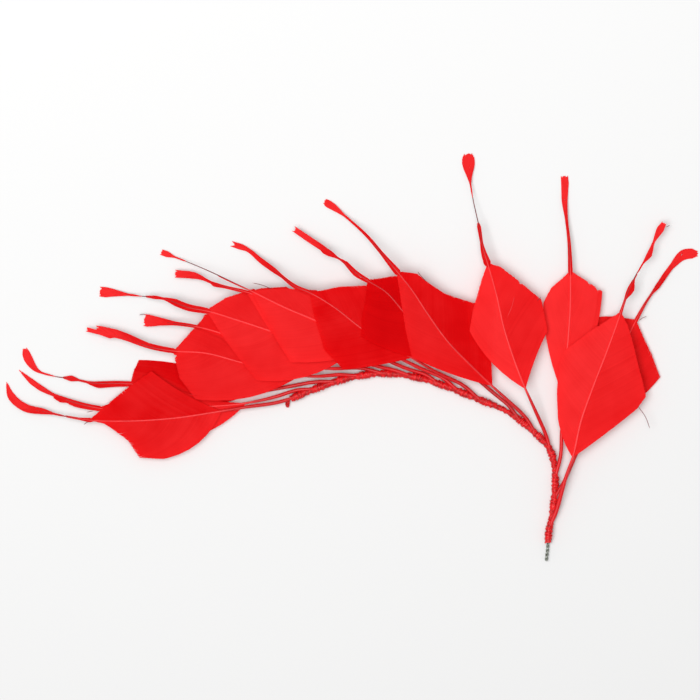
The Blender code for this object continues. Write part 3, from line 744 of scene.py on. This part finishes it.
def dyed_fibre_group():
    """Uneven dye and fine grain, shared by the barbs, the shafts and the thread. The tone it is given also
    holds painted light and shade.
    """
    tree = bpy.data.node_groups.new("dyed_fibre", "ShaderNodeTree")
    for name, kind in (("Deep", "Color"), ("Bright", "Color"), ("Tone", "Float"), ("Patch Scale", "Float"),
                       ("Patch Depth", "Float"), ("Grain Scale", "Float"), ("Grain Depth", "Float")):
        tree.interface.new_socket(name=name, in_out="INPUT", socket_type="NodeSocket" + kind)
    for name, kind in (("Colour", "Color"), ("Shade", "Float"), ("Normal", "Vector")):
        tree.interface.new_socket(name=name, in_out="OUTPUT", socket_type="NodeSocket" + kind)
    given = tree.nodes.new("NodeGroupInput").outputs
    result = tree.nodes.new("NodeGroupOutput").inputs
    place = add_node(tree, "TexCoord").outputs["Object"]
    patch = add_node(tree, "TexNoise", {"Vector": place, "Scale": given["Patch Scale"], "Detail": 3})
    swing = add_node(tree, "Math", {0: patch.outputs[0], 1: 0.5}, operation="SUBTRACT")
    tone = add_node(tree, "Math", {0: swing.outputs[0], 1: given["Patch Depth"], 2: given["Tone"]},
                    operation="MULTIPLY_ADD")
    shade = add_node(tree, "MapRange", {"Value": tone.outputs[0], "From Min": 0.7, "From Max": 1.1})
    colour = add_node(tree, "Mix", {0: shade.outputs[0], 6: given["Deep"], 7: given["Bright"]},
                      data_type="RGBA")
    grain = add_node(tree, "TexNoise", {"Vector": place, "Scale": given["Grain Scale"], "Detail": 2})
    bump = add_node(tree, "Bump", {"Height": grain.outputs[0], "Distance": given["Grain Depth"]})
    tree.links.new(colour.outputs[2], result["Colour"])
    tree.links.new(shade.outputs[0], result["Shade"])
    tree.links.new(bump.outputs[0], result["Normal"])
    return tree


def attribute(tree, name):
    return add_node(tree, "Attribute", attribute_name=name).outputs["Fac"]


def dyed_fibre(tree, fibre, **values):
    """The shared group in a material, with its inputs set by their names in small letters."""
    inputs = {name.replace("_", " ").title(): value for name, value in values.items()}
    inputs["Tone"] = attribute(tree, "tone")
    return add_node(tree, "Group", inputs, node_tree=fibre).outputs


def barb_material(fibre):
    """Dyed barbs: a satin web that light from below and behind shines through."""
    made, tree, output = new_material("dyed_barbs")
    dye_and_shade = dyed_fibre(tree, fibre, deep=(*VANE_DEEP_SHADED, 1), bright=(*VANE_RED, 1), patch_scale=75,
                     patch_depth=0.16, grain_scale=5000, grain_depth=0.00003)
    gloss = add_node(tree, "MapRange", {"Value": dye_and_shade["Shade"], "From Min": 0.3, "To Max": 0.2})
    web = add_node(tree, "BsdfPrincipled", {"Base Color": dye_and_shade["Colour"], "Roughness": 0.5,
                                            "Specular IOR Level": gloss.outputs[0],
                                            "Normal": dye_and_shade["Normal"]})
    glow = add_node(tree, "BsdfTranslucent", {"Color": (*VANE_GLOW, 1)})
    both = add_node(tree, "MixShader", {0: 0.3, 1: web.outputs[0], 2: glow.outputs[0]})
    tree.links.new(both.outputs[0], output.inputs["Surface"])
    return made


def shaft_material(fibre):
    """Dyed horn: a deep red quill, a paler rachis and a dark stripped stem."""
    made, tree, output = new_material("dyed_shaft")
    horn = add_node(tree, "ValToRGB", {"Fac": attribute(tree, "reach")})
    stops = horn.color_ramp.elements
    while len(stops) < 4:
        stops.new(0.5)
    for stop, (place, colour) in zip(stops, ((0.26, QUILL_RED), (0.32, RACHIS_RED), (0.66, RACHIS_RED),
                                             (0.76, STRIPPED_RED))):
        stop.position = place
        stop.color = (*colour, 1)
    dye_and_shade = dyed_fibre(tree, fibre, deep=(*QUILL_DEEP_SHADED, 1), bright=horn.outputs["Color"], patch_scale=160,
                     patch_depth=0.3, grain_scale=2600, grain_depth=0.00004)
    shader = add_node(tree, "BsdfPrincipled", {"Base Color": dye_and_shade["Colour"], "Roughness": 0.36,
                                               "Specular IOR Level": 0.32, "Normal": dye_and_shade["Normal"]})
    tree.links.new(shader.outputs["BSDF"], output.inputs["Surface"])
    return made


FIBRE = dyed_fibre_group()


def build_feathers():
    finishes = [barb_material(FIBRE), shaft_material(FIBRE)]
    for number, (name, feather) in enumerate(FEATHERS.items()):
        rng = np.random.default_rng(number)
        shaft = shaft_of(feather)
        strands = [web_barbs(shaft, web, bow, dye_and_shade, rng)
                   for web, bow, dye_and_shade in zip(("left", "right"), feather.bow, feather.dye_and_shade)]
        strands += stub_barbs(shaft, rng) + wisp_tubes(shaft) + [shaft_tube(shaft)]
        add_piece("barbs_" + name, strands, finishes, name)


build_feathers()


# Thread binding: one glossy red thread wound round the wire and the butts of the quills. It swells and
# crosses itself where a quill is tied in, and its end is knotted at the left.
BINDING_HALF_WIDTH = 1.6
BINDING_HEIGHT = 3.6
TIE_SWELL_WIDTH = 0.6
TIE_SWELL_HEIGHT = 1.9
TIE_SWELL_LENGTH = 6.0
BINDING_SQUARENESS = 0.75
THREAD_RADIUS = 0.3
THREAD_SIDES = 6
WRAP_PITCH = 0.62
WRAP_POINTS = 14
WRAP_WANDER = 0.8
WRAP_SEED = 40
ROPE_PITCH = 3.2
ROPE_DEPTH = 0.22
ROPE_WANDER = 0.1
CROSSING_TURNS = 2.5
CROSSING_LENGTH = 5.5
CROSSING_START = 1
CROSSING_LIFT = 1.4
# Painted light: the crossings and the open turns lie on top and are drawn brighter than the close turns.
CROSSING_PAINTED_LIGHT = 1.08
OVER_PITCH = 4.6
OVER_PAINTED_LIGHT = 1.05
KNOT_LINE = [(-37.6, -24.7), (-38.4, -26.4), (-38.4, -29.4)]
KNOT_RADIUS = 0.9
KNOT_TURNS = 7
KNOT_HEIGHT = 1.6
THREAD_RED = (0.84, 0.009, 0.013)
THREAD_DEEP = (0.24, 0.001, 0.002)


def binding_size(distance):
    """Half width and height of the binding at the given distances."""
    swell = np.zeros_like(distance)
    for feather in FEATHERS.values():
        away = distance - (feather.tie - BUTT_LENGTH / 2)
        swell = np.maximum(swell, np.exp(-(away / TIE_SWELL_LENGTH)**4))
    return BINDING_HALF_WIDTH + TIE_SWELL_WIDTH * swell, BINDING_HEIGHT + TIE_SWELL_HEIGHT * swell


def wrap(distance, turn, lift, tone):
    """Thread round the binding, at a distance along the stem and a turn round it for each point."""
    distance = np.clip(distance, 0, BINDING_LENGTH)
    half_width, height = binding_size(distance)
    across = np.sign(np.cos(turn)) * np.abs(np.cos(turn))**BINDING_SQUARENESS
    up = np.sign(np.sin(turn)) * np.abs(np.sin(turn))**BINDING_SQUARENESS
    across = across * (half_width - THREAD_RADIUS + lift)
    up = up * (height / 2 - THREAD_RADIUS) + np.maximum(up, 0) * lift
    side = left_of(heading(STEM, distance))
    centres = with_height(at_distance(STEM, distance) + side * across[:, None], height / 2 + up)
    outward = with_height(side * across[:, None], up)
    return tube(centres, THREAD_RADIUS, THREAD_SIDES, outward=unit(outward), tone=tone)


def thread_material(fibre):
    """Glossy thread: its fine fibres catch the light in short streaks."""
    made, tree, output = new_material("red_thread")
    dye_and_shade = dyed_fibre(tree, fibre, deep=(*THREAD_DEEP, 1), bright=(*THREAD_RED, 1), patch_scale=420,
                     patch_depth=0.9, grain_scale=4200, grain_depth=0.00008)
    shader = add_node(tree, "BsdfPrincipled", {"Base Color": dye_and_shade["Colour"], "Roughness": 0.26,
                                               "Specular IOR Level": 0.5, "Normal": dye_and_shade["Normal"]})
    tree.links.new(shader.outputs["BSDF"], output.inputs["Surface"])
    return made


def windings(rng):
    """Close turns along the binding, open turns the other way over them, and extra turns at each tie. The
    turns on top get painted light.
    """
    turns = BINDING_LENGTH / WRAP_PITCH
    turn = np.arange(0, turns, 1 / WRAP_POINTS)
    share = turn / turns
    distance = share * BINDING_LENGTH + WRAP_WANDER * wander(rng, share, waves=60)
    lump = ROPE_DEPTH * np.cos(2 * math.pi * (turn - distance / ROPE_PITCH))
    lump = lump + ROPE_WANDER * wander(rng, share, waves=200)
    strands = [wrap(distance, turn * 2 * math.pi, lump, 1.0)]
    over = np.arange(0, BINDING_LENGTH / OVER_PITCH, 1 / WRAP_POINTS)
    strands.append(wrap(over * OVER_PITCH, -over * 2 * math.pi, THREAD_RADIUS, OVER_PAINTED_LIGHT))
    for feather in FEATHERS.values():
        turn = np.arange(0, CROSSING_TURNS, 1 / WRAP_POINTS)
        distance = feather.tie - CROSSING_START - CROSSING_LENGTH * turn / CROSSING_TURNS
        turn = (rng.uniform(0, 1) + turn) * 2 * math.pi
        strands.append(wrap(distance, turn, THREAD_RADIUS * CROSSING_LIFT, CROSSING_PAINTED_LIGHT))
    return strands


def knot():
    """End of the thread, wound thickest in the middle of the knot's own short line."""
    line = smooth_line(KNOT_LINE)
    share = np.linspace(0, 1, KNOT_TURNS * WRAP_POINTS)
    turn = share * KNOT_TURNS * 2 * math.pi
    swell = THREAD_RADIUS + KNOT_RADIUS * np.sqrt(np.sin(math.pi * share))
    distance = share * travelled(line)[-1]
    aside = left_of(heading(line, distance)) * (swell * np.cos(turn))[:, None]
    centres = with_height(at_distance(line, distance) + aside, KNOT_HEIGHT + swell * np.sin(turn))
    outward = with_height(aside, swell * np.sin(turn))
    return tube(centres, THREAD_RADIUS, THREAD_SIDES, outward=unit(outward))


def build_binding():
    strands = windings(np.random.default_rng(WRAP_SEED)) + [knot()]
    add_piece("wound_thread", strands, [thread_material(FIBRE)], "thread_binding")


build_binding()
